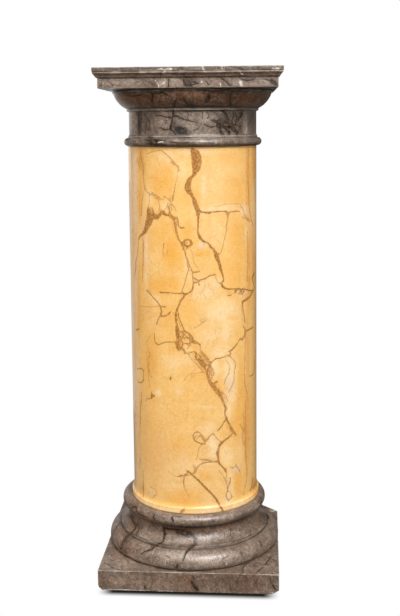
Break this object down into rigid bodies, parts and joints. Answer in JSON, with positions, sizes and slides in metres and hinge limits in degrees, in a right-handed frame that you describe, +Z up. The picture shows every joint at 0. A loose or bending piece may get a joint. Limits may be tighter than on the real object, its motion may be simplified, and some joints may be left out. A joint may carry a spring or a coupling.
{
  "type": "column",
  "caption": "Polished marble display column with a moulded square abacus, a plain veined yellow shaft and a turned base on a square plinth.",
  "frame": {"origin": "centre of the plinth's underside, on the floor", "axes": "+Z up along the column's axis, -Y out of the front face, +X to the right as seen from the front"},
  "size_m": [0.3812, 0.38, 1.0687],
  "materials": {
    "grey_marble_capital": "polished grey-brown marble",
    "yellow_marble_shaft": "polished yellow marble with brown veins",
    "grey_marble_base": "polished grey-brown marble"
  },
  "bodies": {
    "root": {"capital": "grey_marble_capital", "shaft": "yellow_marble_shaft", "base": "grey_marble_base"}
  },
  "joints": []
}
